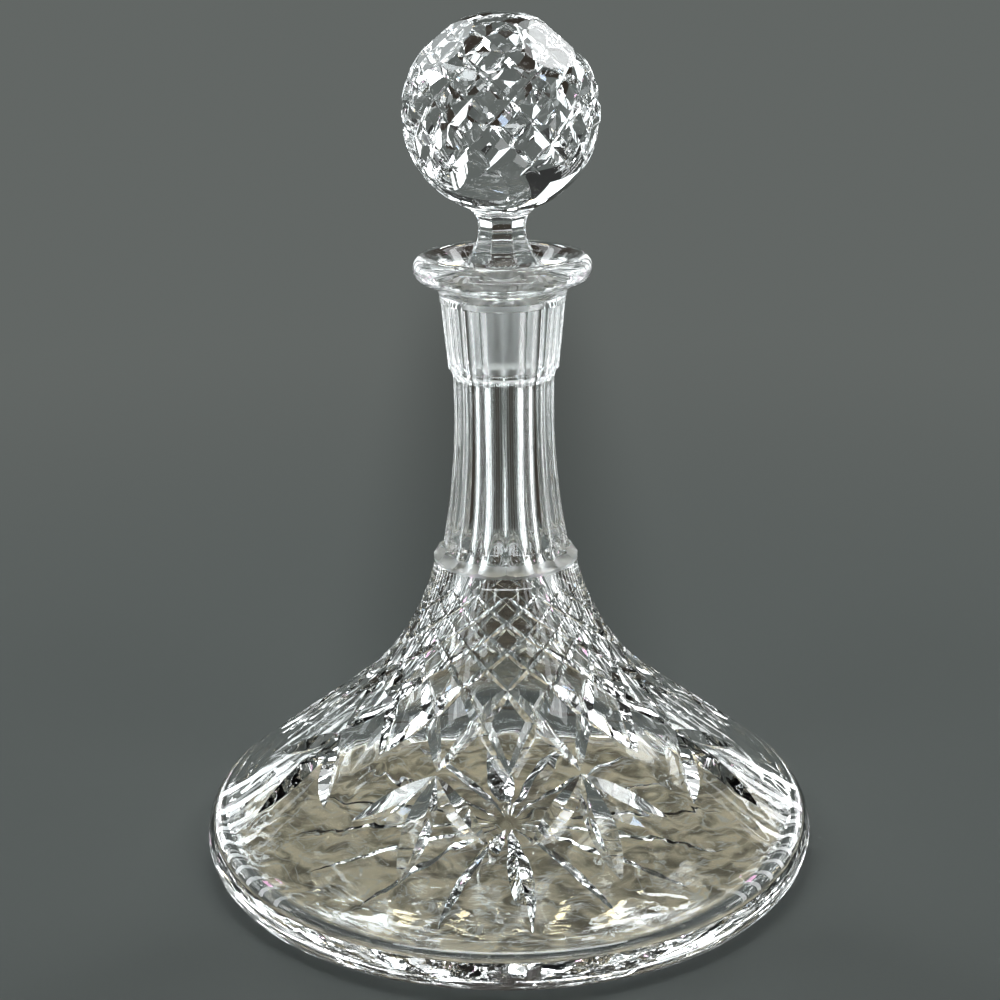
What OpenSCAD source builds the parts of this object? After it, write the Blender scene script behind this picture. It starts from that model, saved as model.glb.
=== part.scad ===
// Cut-glass ship's decanter: a broad weighted body with a fluted neck, and a loose ball stopper
// ground into its mouth. The origin is the middle of the foot, on the table, with +Z up.

/* [Foot] */
// Diameter across the widest part of the foot
foot_d = 195; // [185:1:210]
// Height of that widest part above the table
rim_z = 9; // [7:0.5:11]
// Radius of the rounded rim
rim_round = 13; // [12:0.5:15]
// Thickness of the floor
floor_t = 6; // [5:0.5:8]
// Radius where the hollow turns from wall to floor
hollow_round = 5; // [4:0.5:6]

/* [Shoulder] */
// Diameter of the crest, where the neck flutes run out
crest_d = 45; // [42:0.5:48]
// Height of the crest
crest_z = 96; // [92:1:100]
// Lean of the shoulder at the crest, from upright
crest_lean = 14; // [11:1:17]
// Radius of the sweep from the crest out to the straight slope
shoulder_sweep = 82; // [76:1:90]
// Glass wall along the straight slope, square to its face
wall = 6; // [5:0.5:7]
// Radius of the sweep inside, from the bore out to the straight slope
bore_sweep = 85; // [80:1:92]

/* [Neck] */
// Diameter of the bore
bore_d = 14; // [12:0.2:14.4]
// Width of the neck across opposite flutes at its waist
neck_w = 30; // [28:0.5:33]
// Height of the waist
waist_z = 147; // [140:1:150]
// Radius of the long hollow curve of a flute
flute_sweep = 240; // [200:5:300]
// Height at which a flute starts to run out towards the crest
flute_foot_z = 106; // [103:1:110]
// Radius of that run-out
flute_foot_round = 15; // [13:0.5:18]
// Number of flutes round the neck and collar
flute_count = 16; // [16:4:20]

/* [Collar and lip] */
// Width of the collar across opposite panels at its lower edge
collar_w = 33; // [32:0.5:35]
// Height of that lower edge
collar_z = 159; // [157:0.5:161]
// Width of the collar across opposite panels at its upper edge
collar_top_w = 37; // [36:0.5:38]
// Height of that upper edge
collar_top_z = 180; // [178:0.5:182]
// Diameter of the lip
lip_d = 54; // [52:0.5:57]
// Height of the widest part of the lip above the collar's upper edge
lip_rise = 10; // [9.5:0.5:12]
// Radius of the rounded lip
lip_round = 4; // [3.5:0.25:4.5]
// Radius of the hollow under the lip
lip_fillet = 5; // [4:0.5:6]

/* [Ground joint] */
// Diameter of the plug at its upper end
plug_d = 16.2; // [15.6:0.2:17]
// Length of the plug
plug_len = 20; // [17:0.5:22]
// Height of the lower end of the plug
plug_z = 161; // [159:0.5:163]
// Taper of the joint, as an angle to its axis
taper = 2.9; // [2:0.1:3.5]
// Gap between the ground faces, on each side
seat_gap = 0.05; // [0.03:0.01:0.1]

/* [Stopper] */
// Diameter of the ball
ball_d = 58.6; // [54:0.2:62]
// Height of the middle of the ball
ball_z = 235.6; // [232:0.2:240]
// Width of the stem across opposite flats at its waist
stem_w = 14; // [13:0.2:15]
// Number of flats round the stem
stem_flats = 8; // [6:2:10]
// Radius of the curve from the stem up to the ball
ball_fillet = 6; // [5:0.5:8]
// Radius of the curve from the stem down to the shoulder
stem_sweep = 26; // [24:1:32]
// Diameter of the stopper's shoulder
shoulder_d = 22.4; // [21:0.2:23]
// Radius of the rounded edge of that shoulder
shoulder_round = 2; // [1.5:0.25:2.5]

/* [Cut pattern] */
// Number of leaf stars round the body
star_count = 8; // [6:1:9]
// Height of the middle of the leaf stars
star_z = 47.5; // [45:0.5:49]
// Height of the crossing of the star's upper arms
arm_cross_z = 60; // [58:0.5:62]
// Height of the upper end of the arms
arm_top_z = 67.5; // [66:0.5:70]
// Width of an arm
arm_w = 6; // [4:0.5:7]
// Depth of an arm
arm_depth = 1.8; // [1:0.1:2.2]
// How much shallower the arms are that lean the other way
arm_under = 0.2; // [0.1:0.05:0.3]
// Height of the tip of the middle leaf
leaf_z = 25; // [23:0.5:28]
// Width of the middle leaf
leaf_w = 9.5; // [7:0.5:11]
// Depth of the middle leaf
leaf_depth = 2.6; // [1.5:0.1:3]
// Height of the tip of a side leaf
side_leaf_z = 34.5; // [33:0.5:37]
// Turn of the tip of a side leaf away from the star
side_leaf_turn = 17.8; // [15:0.1:19]
// Width of a side leaf
side_leaf_w = 7; // [5:0.5:8]
// Depth of a side leaf
side_leaf_depth = 2; // [1:0.1:2.4]
// Number of rays in the star under the foot
ray_count = 16; // [12:2:18]
// Turn of the first ray from the front
ray_turn = 5; // [0:1:10]
// Diameter that the rays reach
ray_reach_d = 142; // [130:1:150]
// Gap between the middle of the foot and the start of a ray
ray_start = 2.5; // [2:0.1:4]
// Width of a ray
ray_w = 8; // [5:0.5:9]
// Depth of a ray
ray_depth = 2.4; // [1.5:0.1:3]
// Turn of the ball's cuts, with the middle of a panel at the front when it is 0
ball_turn = -7; // [-25:1:25]
// Number of mitre cuts each way round the ball
ball_cuts = 14; // [12:2:16]
// Slope of those cuts where they cross the ball's middle
ball_cut_slope = 47; // [44:1:50]
// Depth of those cuts
ball_cut_depth = 1.4; // [0.8:0.1:1.6]
// How much shallower the cuts are that lean the other way
ball_cut_under = 0.2; // [0.1:0.05:0.3]
// Half angle of the edge of the mitre wheel on the ball
ball_cut_angle = 52; // [45:1:55]
// Turn along a cut from the ball's middle to its lower end
ball_cut_low = 44; // [40:1:46]
// Turn along a cut from the ball's middle to its upper end
ball_cut_high = 48; // [44:1:52]
// Number of flat panels round the top of the ball
ball_panels = 7; // [6:1:8]
// Height angle of the middle of a panel above the ball's middle
panel_rise = 48; // [46:1:50]
// Depth of a panel
panel_depth = 1.8; // [1.2:0.1:2]

/* [Hidden] */
$fn = 96;
glass = [0.82, 0.88, 0.87, 0.45];
// How far a cutting tool runs on past the face that it cuts
overrun = 0.5;

// Outer slope: the straight line that touches the rim's circle and the shoulder's sweep
bore_r = bore_d / 2;
rim_c = [foot_d / 2 - rim_round, rim_z];
sweep_c = [crest_d / 2 + shoulder_sweep * cos(crest_lean), crest_z + shoulder_sweep * sin(crest_lean)];
rise = sweep_c - rim_c;
slope_turn = atan2(rise.y, rise.x) - acos((rim_round + shoulder_sweep) / norm(rise));
slope_n = [cos(slope_turn), sin(slope_turn)];
rim_t = rim_c + rim_round * slope_n;
sweep_t = sweep_c - shoulder_sweep * slope_n;

// Inner slope: the same line set in by the wall, between the floor's corner and the bore's sweep
inner_reach = slope_n * rim_c + rim_round - wall;
inner_c_r = bore_r + bore_sweep;
inner_c = [inner_c_r, (inner_reach + bore_sweep - slope_n.x * inner_c_r) / slope_n.y];
inner_t = inner_c - bore_sweep * slope_n;
corner_z = floor_t + hollow_round;
corner_c = [(inner_reach - hollow_round - slope_n.y * corner_z) / slope_n.x, corner_z];
corner_t = corner_c + hollow_round * slope_n;

// Flutes: a long hollow curve with a round run-out at the foot and, below the collar's step, at the head
flute_c = [neck_w / 2 + flute_sweep, waist_z];
flute_head_round = 4;
step_h = 3;
flute_head_z = collar_z - step_h;
foot_turn = asin((waist_z - flute_foot_z) / flute_sweep);
head_turn = asin((flute_head_z - waist_z) / flute_sweep);
foot_c = flute_c - (flute_sweep - flute_foot_round) * [cos(foot_turn), sin(foot_turn)];
head_c = flute_c - (flute_sweep - flute_head_round) * [cos(head_turn), -sin(head_turn)];
panel_half = 180 / flute_count;
neck_blank_r = crest_d / 2;
flute_w = 2 * neck_blank_r * sin(panel_half) + overrun;

// Collar and lip: the round blank stands a little proud of the edges between the panels cut into it
collar_spare = 0.3;
collar_r = collar_w / 2 / cos(panel_half) + collar_spare;
collar_top_r = collar_top_w / 2 / cos(panel_half) + collar_spare;
lip_z = collar_top_z + lip_rise;
lip_c = [lip_d / 2 - lip_round, lip_z];
fillet_r = collar_top_r + lip_fillet;
fillet_c = [fillet_r, lip_z - sqrt(pow(lip_fillet + lip_round, 2) - pow(fillet_r - lip_c.x, 2))];
fillet_t = lip_c + lip_round * (fillet_c - lip_c) / norm(fillet_c - lip_c);

// Ground joint: the socket follows the plug's cone, opened by the gap
plug_top_z = plug_z + plug_len;
plug_r = plug_d / 2;
plug_end_r = plug_r - plug_len * tan(taper);
// The socket goes on below the plug, so that the plug can seat
socket_drop = 2;
function socket_r(z) = plug_end_r + seat_gap + (z - plug_z) * tan(taper);

// Mouth: a funnel from the socket out to the top of the lip
funnel_start = [socket_r(plug_top_z), plug_top_z];
funnel_run = lip_c - funnel_start;
funnel_turn = atan2(funnel_run.y, funnel_run.x) + asin(lip_round / norm(funnel_run));
funnel_t = lip_c + lip_round * [-sin(funnel_turn), cos(funnel_turn)];

// Stopper
ball_r = ball_d / 2;
stem_r = stem_w / 2 / cos(180 / stem_flats);
stem_z = ball_z - sqrt(pow(ball_r + ball_fillet, 2) - pow(stem_r + ball_fillet, 2));
ball_t = [0, ball_z] + ball_r / (ball_r + ball_fillet) * [stem_r + ball_fillet, stem_z - ball_z];
bead_r = shoulder_d / 2 - shoulder_round;
bead_z = stem_z - sqrt(pow(stem_sweep + shoulder_round, 2) - pow(stem_r + stem_sweep - bead_r, 2));
bead_c = [bead_r, bead_z];
stem_c = [stem_r + stem_sweep, stem_z];
bead_t = bead_c + shoulder_round * (stem_c - bead_c) / norm(stem_c - bead_c);

// Radius of the outer surface at a height on the straight slope or on the sweep above it
function skin_r(z) = z < sweep_t.y
    ? rim_t.x + (z - rim_t.y) * (sweep_t.x - rim_t.x) / (sweep_t.y - rim_t.y)
    : sweep_c.x - sqrt(pow(shoulder_sweep, 2) - pow(z - sweep_c.y, 2));

// A point of the outer surface, turned from the front, and the surface's outward direction there
function on_skin(turn, z) = [skin_r(z) * sin(turn), -skin_r(z) * cos(turn), z];
function skin_lean(z) = z < sweep_t.y ? slope_turn : asin((sweep_c.y - z) / shoulder_sweep);
function skin_n(turn, z) = let (a = skin_lean(z)) [cos(a) * sin(turn), -cos(a) * cos(turn), sin(a)];

module outer_2d() {
    difference() {
        union() {
            polygon([[0, 0], [rim_c.x, 0], rim_c, rim_t, sweep_t, [crest_d / 2, crest_z], [0, crest_z]]);
            intersection() {
                translate(rim_c) circle(rim_round);
                square(foot_d);
            }
        }
        translate(sweep_c) circle(shoulder_sweep);
    }
    neck_blank_2d();
    lip_2d();
}

module neck_blank_2d() {
    polygon([
        [0, crest_z],
        [neck_blank_r, crest_z],
        [neck_blank_r, flute_foot_z],
        [collar_r, flute_head_z],
        [collar_r, collar_z],
        [collar_top_r, collar_top_z],
        [collar_top_r, fillet_c.y],
        [0, fillet_c.y]
    ]);
}

module lip_2d() {
    difference() {
        union() {
            polygon([[0, fillet_c.y], [collar_top_r, fillet_c.y], fillet_t, lip_c, funnel_t, funnel_start,
                [0, plug_top_z]]);
            translate(lip_c) circle(lip_round);
        }
        translate(fillet_c) circle(lip_fillet);
    }
}

module hollow_2d() {
    difference() {
        union() {
            polygon([[0, floor_t], [corner_c.x, floor_t], corner_t, inner_t, [bore_r, inner_c.y],
                [bore_r, plug_top_z], [0, plug_top_z]]);
            translate(corner_c) circle(hollow_round);
        }
        translate(inner_c) circle(bore_sweep);
    }
    polygon([[0, plug_z - socket_drop], [socket_r(plug_z - socket_drop), plug_z - socket_drop],
        funnel_start, funnel_t, [0, funnel_t.y + lip_round]]);
}

// Section of the wheel that cuts one flute and the collar panel above it
module flute_2d() {
    intersection() {
        translate(flute_c) circle(flute_sweep);
        translate([0, flute_foot_z]) square([neck_blank_r + overrun, flute_head_z - flute_foot_z]);
    }
    translate(foot_c) circle(flute_foot_round);
    translate(head_c) circle(flute_head_round);
    polygon([
        [collar_w / 2, collar_z],
        [collar_top_w / 2, collar_top_z],
        [collar_top_w / 2 + lip_fillet, collar_top_z],
        [collar_top_w / 2 + lip_fillet, flute_head_z],
        [collar_w / 2, flute_head_z]
    ]);
}

// Every second flute, from the first one given, so that no two of the cuts meet
module flutes(first) {
    for (i = [first : 2 : flute_count - 1])
        rotate((i + 0.5) * 360 / flute_count - 90)
            rotate([90, 0, 0])
                linear_extrude(flute_w, center = true) flute_2d();
}

// Mitre wheel's cut: a V along X with -Z into the glass. Its root is level in the middle and rises
// straight to both tips, at s = -1 and 1 along the cut, and the tool runs on past them.
module mitre(length, width, depth) {
    level = 0.4;
    end = 1.12;
    stations = [-end, -level, level, end];
    top = depth / 2;
    last = len(stations) - 1;
    points = [
        for (s = stations)
            let (root = depth * (abs(s) - 1) / (1 - level), half_w = width / 2 * (top - root) / depth)
                each [[s * length / 2, -half_w, top], [s * length / 2, 0, root], [s * length / 2, half_w, top]]
    ];
    sides = [
        for (i = [0 : last - 1], j = [0 : 2])
            let (k = (j + 1) % 3) [3 * i + j, 3 * i + 3 + j, 3 * i + 3 + k, 3 * i + k]
    ];
    polyhedron(points, concat([[0, 1, 2]], sides, [[3 * last + 2, 3 * last + 1, 3 * last]]));
}

// The same cut laid along the line from a to b through a surface point with its outward direction
module mitre_along(a, b, at, out, width, depth) {
    x = (b - a) / norm(b - a);
    y_raw = cross(out, x);
    y = y_raw / norm(y_raw);
    n = cross(x, y);
    multmatrix([[x.x, y.x, n.x, at.x], [x.y, y.y, n.y, at.y], [x.z, y.z, n.z, at.z]])
        mitre(norm(b - a), width, depth);
}

module mitre_on_skin(turn_a, z_a, turn_b, z_b, width, depth) {
    turn_m = (turn_a + turn_b) / 2;
    z_m = (z_a + z_b) / 2;
    mitre_along(on_skin(turn_a, z_a), on_skin(turn_b, z_b), on_skin(turn_m, z_m), skin_n(turn_m, z_m),
        width, depth);
}

// Middle leaves of the stars
module middle_leaves() {
    for (i = [0 : star_count - 1])
        let (turn = (i + 0.5) * 360 / star_count)
            mitre_on_skin(turn, star_z, turn, leaf_z, leaf_w, leaf_depth);
}

// Side leaves that lean one way
module side_leaves(way) {
    for (i = [0 : star_count - 1])
        let (turn = (i + 0.5) * 360 / star_count)
            mitre_on_skin(turn, star_z, turn + way * side_leaf_turn, side_leaf_z, side_leaf_w, side_leaf_depth);
}

// Upper arms that lean one way, two for each star. They cross the other set halfway, and the second
// set is a little shallower there.
module arms(way) {
    step = 180 / star_count;
    depth = way > 0 ? arm_depth : arm_depth - arm_under;
    for (i = [0 : 2 * star_count - 1])
        let (turn = i * step, a = on_skin(turn, star_z), b = on_skin(turn + way * step, arm_top_z))
            mitre_along(a, b, on_skin(turn + way * step / 2, arm_cross_z),
                skin_n(turn + way * step / 2, arm_cross_z), arm_w, depth);
}

// Star under the foot
module foot_rays() {
    length = ray_reach_d / 2 - ray_start;
    for (i = [0 : ray_count - 1])
        rotate(ray_turn + i * 360 / ray_count - 90)
            translate([ray_start + length / 2, 0, 0])
                rotate([180, 0, 0]) mitre(length, ray_w, ray_depth);
}

module decanter_body() {
    color(glass)
    difference() {
        difference() {
            difference() {
                difference() {
                    difference() {
                        difference() {
                            difference() {
                                rotate_extrude() difference() {
                                    outer_2d();
                                    hollow_2d();
                                }
                                flutes(0);
                            }
                            flutes(1);
                        }
                        foot_rays();
                    }
                    middle_leaves();
                }
                side_leaves(1);
                side_leaves(-1);
            }
            arms(1);
        }
        arms(-1);
    }
}

module stopper_2d() {
    // Plug and the flare above it
    polygon([[0, plug_z], [plug_end_r, plug_z], [plug_r, plug_top_z], bead_c, [0, bead_z]]);
    translate(bead_c) circle(shoulder_round);
    // Stem below its waist
    difference() {
        polygon([[0, bead_z], bead_c, bead_t, [stem_r, stem_z], [0, stem_z]]);
        translate(stem_c) circle(stem_sweep);
    }
    // Stem above its waist, up into the ball
    difference() {
        polygon([[0, stem_z], [stem_r, stem_z], ball_t, [0, ball_z]]);
        translate([stem_r + ball_fillet, stem_z]) circle(ball_fillet);
    }
}

module stem_flat_2d() {
    flat_r = stem_w / 2;
    reach = shoulder_d;
    intersection() {
        translate([flat_r + stem_sweep, stem_z]) circle(stem_sweep);
        translate([0, bead_z]) square([reach, stem_z - bead_z]);
    }
    intersection() {
        translate([flat_r + ball_fillet, stem_z]) circle(ball_fillet);
        translate([0, stem_z]) square([reach, ball_fillet]);
    }
}

module stem_flat_cuts(first) {
    for (i = [first : 2 : stem_flats - 1])
        rotate(i * 360 / stem_flats - 90)
            rotate([90, 0, 0])
                linear_extrude(stem_w, center = true) stem_flat_2d();
}

// V cuts that lean one way over the ball. Each is a ring about a centre set back from the ball's, so that
// it is deepest at its middle and runs out of the ball at both ends.
module ball_mitres(way) {
    span = (ball_cut_low + ball_cut_high) / 2;
    middle = (ball_cut_high - ball_cut_low) / 2;
    root_r = ball_r - ball_cut_depth + (way > 0 ? 0 : ball_cut_under);
    back = (pow(ball_r, 2) - pow(root_r, 2)) / (2 * (root_r - ball_r * cos(span)));
    top_r = ball_r + overrun;
    half_w = (top_r - root_r) * tan(ball_cut_angle);
    for (i = [0 : ball_cuts - 1])
        translate([0, 0, ball_z])
            rotate(i * 360 / ball_cuts + ball_turn - 90)
                rotate([way * ball_cut_slope, 0, 0])
                    rotate(way * middle)
                        translate([-back, 0, 0])
                            rotate(180)
                                rotate_extrude()
                                    polygon([
                                        [root_r + back, 0],
                                        [top_r + back, -half_w],
                                        [top_r + back, half_w]
                                    ]);
}

// Every second panel from the first one given up to the last one given, so that no two of the cuts meet
module ball_panel_cuts(first, last) {
    for (i = [first : 2 : last])
        translate([0, 0, ball_z])
            rotate([0, 90 - panel_rise, i * 360 / ball_panels + ball_turn - 90])
                translate([0, 0, ball_r - panel_depth])
                    cylinder(h = 2 * panel_depth, r = ball_r / 2);
}

module stopper() {
    color(glass)
    difference() {
        difference() {
            difference() {
                difference() {
                    difference() {
                        difference() {
                            difference() {
                                union() {
                                    rotate_extrude() stopper_2d();
                                    translate([0, 0, ball_z]) sphere(ball_r);
                                }
                                stem_flat_cuts(0);
                            }
                            stem_flat_cuts(1);
                        }
                        ball_panel_cuts(0, ball_panels - 2);
                    }
                    ball_panel_cuts(1, ball_panels - 2);
                }
                ball_panel_cuts(ball_panels - 1, ball_panels - 1);
            }
            ball_mitres(1);
        }
        ball_mitres(-1);
    }
}

decanter_body();
stopper();
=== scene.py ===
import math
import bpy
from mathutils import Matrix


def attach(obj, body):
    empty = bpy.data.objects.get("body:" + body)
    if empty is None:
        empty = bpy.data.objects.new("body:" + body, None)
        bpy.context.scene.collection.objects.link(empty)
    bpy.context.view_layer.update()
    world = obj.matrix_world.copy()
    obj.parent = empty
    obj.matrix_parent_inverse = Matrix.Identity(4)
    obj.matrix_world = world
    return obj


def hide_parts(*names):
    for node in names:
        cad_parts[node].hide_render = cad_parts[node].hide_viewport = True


bl_info = {
    "name": "Cut-Glass Ship's Decanter",
    "version": (1, 0, 0),
    "blender": (4, 5, 0),
    "location": "View3D > Sidebar > Decanter",
    "description": "Builds a cut-glass ship's decanter with its ball stopper, and a studio to show it in",
    "category": "Add Mesh",
}

from types import SimpleNamespace

import bpy
import numpy as np
from bpy.props import FloatProperty, FloatVectorProperty, IntProperty, PointerProperty

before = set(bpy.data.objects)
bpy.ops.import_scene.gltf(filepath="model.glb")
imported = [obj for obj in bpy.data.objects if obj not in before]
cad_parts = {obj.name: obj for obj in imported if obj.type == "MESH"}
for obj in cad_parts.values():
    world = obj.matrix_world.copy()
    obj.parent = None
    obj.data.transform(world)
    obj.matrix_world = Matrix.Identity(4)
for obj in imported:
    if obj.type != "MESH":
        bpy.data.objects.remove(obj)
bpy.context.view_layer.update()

# Spare glass of the round collar outside the edges of its panels, and the socket's depth below the plug, in metres
COLLAR_SPARE = 0.0003
SOCKET_DROP = 0.002

# Segments round the turned pieces and round the backdrop
BODY_SEGMENTS, STOPPER_SEGMENTS, SWEEP_SEGMENTS = 192, 168, 96

# Angle between two faces from which their edge stays crisp
CRISP = math.radians(17)

# Rows of crossings in the net of cuts, how far the cuts run past the first and the last row, the rows over which each
# end tapers, and how far the ends stand clear of the glass, in metres
NET_ROWS, NET_BEFORE, NET_AFTER = 8, 0.06, 0.05
NET_TAPER_TOP, NET_TAPER_END, NET_CLEAR = 0.5, 0.12, 0.0001

# Rows at which the net's arms and its middle crossings are deepest, and half the length of either bulge in rows
NET_ARM, NET_MIDDLE, NET_BULGE = 6.98, 4.9, 1.08

# Tools run past the ends of a cut by these factors, and stand clear of the glass by a length and a share of the depth
LEAF_RUN, RAY_RUN, BALL_RUN, FLUTE_RUN = 1.08, 1.05, 1.06, 1.06
CLEAR, CLEAR_SHARE = 0.0005, 0.35

# Angle on the circle of a flute's run-out from which the tool starts, outside the glass
RUN_OUT = 1.45 * math.pi

# Backdrop, in metres: reach of its flat floor, radius of the curve up into the wall, and height of the wall
SWEEP_FLAT, SWEEP_ROUND, SWEEP_H = 2.6, 1.0, 1.5

# The floor lies this far below the foot, so that the two faces don't fight
FLOOR_DROP = 0.0003

# Dark cards behind, which only the glass shows: name, distance, lower edge and upper edge, all of one half width
FLAG_HALF_W = 0.06
FLAGS = (("studio_flag", 0.2, 0.0, 0.12), ("studio_flag_far", 0.35, 0.07, 0.185))

# Points that the lamps face, at the ball and low on the body
AIM_BALL, AIM_BODY = (0.0, 0.0, 0.235), (0.0, 0.0, 0.1)

# Upright strips on each side: name, number, first turn and step from straight behind in degrees, distance, height of
# the middle, size, and the name of their power
STRIPS = (
    ("strip behind", 9, 28, 5, 0.65, 0.205, (0.012, 0.31), "behind"),
    ("low card", 9, 50, 7, 0.24, 0.055, (0.008, 0.11), "low"),
    ("near card", 5, 22, 13, 0.2, 0.22, (0.03, 0.1), "near"),
)

# Small lamps on each side: turn from straight ahead and height angle in degrees, and a tint or none
PINK, BLUE, AMBER = (1.0, 0.55, 0.85), (0.55, 0.72, 1.0), (1.0, 0.85, 0.55)
SPOTS = ((28, 26, None), (70, 22, None), (62, 42, BLUE), (98, 16, PINK), (155, 52, AMBER), (170, 34, None))
SPOT_FAR, SPOT_SIZE = 1.2, (0.1, 0.1)

# Camera that was fitted to the rings in the photograph
LENS_MM, SENSOR_MM = 72.09, 36.0
EYE = (-0.0016, -0.59347, 0.307667)
EYE_DOWN, EYE_ASIDE = math.radians(17.861), math.radians(-0.7)


def length(name, default, description):
    """A size in metres."""
    return FloatProperty(name=name, description=description, default=default, unit="LENGTH", precision=4)


def angle(name, degrees, description):
    """An angle, kept in radians and shown in degrees."""
    return FloatProperty(name=name, description=description, default=math.radians(degrees), subtype="ANGLE")


def count(name, default, description):
    """A number of like cuts."""
    return IntProperty(name=name, description=description, default=default, min=3, max=64)


def share(name, default, description):
    """A plain number from 0 to 1."""
    return FloatProperty(name=name, description=description, default=default, min=0.0, max=1.0, precision=3)


def colour(name, default, description):
    """A linear colour."""
    return FloatVectorProperty(name=name, description=description, default=default, size=3, subtype="COLOR",
                               min=0.0, max=1.0)


def power(name, default, description):
    """The power of a lamp in watts."""
    return FloatProperty(name=name, description=description, default=default, min=0.0, unit="POWER", precision=3)


class DecanterBodySizes(bpy.types.PropertyGroup):
    """Sizes of the foot, shoulder, neck, collar and mouth"""

    foot_d: length("Foot", 0.195, "Diameter across the widest part of the foot")
    rim_z: length("Rim height", 0.009, "Height of the widest part of the foot")
    rim_round: length("Rim radius", 0.013, "Radius of the rounded rim")
    floor_t: length("Floor", 0.006, "Thickness of the glass floor")
    hollow_round: length("Hollow radius", 0.005, "Radius where the hollow turns from wall to floor")
    crest_d: length("Crest", 0.045, "Diameter where the neck flutes run out")
    crest_z: length("Crest height", 0.096, "Height where the neck flutes run out")
    crest_lean: angle("Crest lean", 14.0, "Lean of the shoulder at the crest, from upright")
    shoulder_sweep: length("Shoulder sweep", 0.082, "Radius of the hollow curve of the shoulder")
    wall: length("Wall", 0.006, "Glass wall along the straight slope")
    bore_sweep: length("Bore sweep", 0.085, "Radius of the curve inside, from the bore to the slope")
    bore_d: length("Bore", 0.014, "Diameter of the bore in the neck")
    neck_w: length("Neck", 0.030, "Width of the neck across opposite flutes at its waist")
    waist_z: length("Waist height", 0.147, "Height of the narrowest part of the neck")
    flute_sweep: length("Flute sweep", 0.240, "Radius of the long hollow curve of a flute")
    flute_foot_z: length("Flute foot", 0.1045, "Height at which a flute starts to run out")
    flute_foot_round: length("Flute run-out", 0.007, "Radius of the run-out at the foot of a flute")
    flute_head_round: length("Flute head", 0.004, "Radius of the run-out below the collar")
    flute_wheel: length("Flute wheel", 0.009, "Radius of the hollow across a flute")
    flute_count: count("Flutes", 16, "Number of flutes round the neck and collar")
    collar_w: length("Collar", 0.033, "Width of the collar at its lower edge")
    collar_z: length("Collar height", 0.159, "Height of the collar's lower edge")
    collar_step: length("Collar step", 0.003, "Height of the step below the collar")
    collar_top_w: length("Collar top", 0.037, "Width of the collar at its upper edge")
    collar_top_z: length("Collar top height", 0.180, "Height of the collar's upper edge")
    lip_d: length("Lip", 0.054, "Diameter of the rolled lip")
    lip_z: length("Lip height", 0.190, "Height of the widest part of the lip")
    lip_round: length("Lip radius", 0.004, "Radius of the rolled lip")
    lip_fillet: length("Lip hollow", 0.005, "Radius of the hollow under the lip")


class DecanterStopperSizes(bpy.types.PropertyGroup):
    """Sizes of the plug, stem and ball, and of the socket that follows the plug"""

    plug_d: length("Plug", 0.0162, "Diameter of the ground plug at its upper end")
    plug_len: length("Plug length", 0.020, "Length of the ground plug")
    plug_z: length("Plug height", 0.161, "Height of the lower end of the plug")
    taper: angle("Taper", 2.9, "Angle of the ground cone to its axis")
    seat_gap: length("Seat gap", 0.00005, "Gap between the ground faces")
    ball_d: length("Ball", 0.0586, "Diameter of the ball")
    ball_z: length("Ball height", 0.2356, "Height of the middle of the ball")
    stem_w: length("Stem", 0.014, "Width of the stem across opposite flats at its waist")
    stem_flats: count("Stem flats", 8, "Number of flats round the stem")
    ball_fillet: length("Ball fillet", 0.006, "Radius of the curve from the stem up to the ball")
    stem_sweep: length("Stem sweep", 0.018, "Radius of the curve from the stem down to the shoulder")
    shoulder_d: length("Shoulder", 0.0262, "Diameter of the stopper's shoulder")
    shoulder_round: length("Shoulder radius", 0.002, "Radius of the edge of the stopper's shoulder")
    ball_turn: angle("Ball turn", -7.0, "Turn of the ball's cuts, with the middle of a panel at the front when it is 0")
    ball_cuts: count("Ball cuts", 14, "Number of mitre cuts each way round the ball")
    ball_cut_slope: angle("Ball cut slope", 47.0, "Slope of those cuts where they cross the ball's middle")
    ball_cut_depth: length("Ball cut depth", 0.0024, "Depth of those cuts")
    ball_cut_under: length("Ball cut under", 0.0002, "How much shallower the cuts are that lean the other way")
    ball_cut_angle: angle("Ball cut angle", 57.0, "Half angle of those cuts")
    ball_cut_low: angle("Ball cut low end", 44.0, "Turn along a cut from the ball's middle to its lower end")
    ball_cut_high: angle("Ball cut high end", 48.0, "Turn along a cut from the ball's middle to its upper end")
    ball_panels: count("Ball panels", 7, "Number of flat panels round the top of the ball")
    panel_rise: angle("Panel rise", 48.0, "Height angle of the middle of a panel")
    panel_depth: length("Panel depth", 0.0017, "Depth of a panel")


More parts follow.
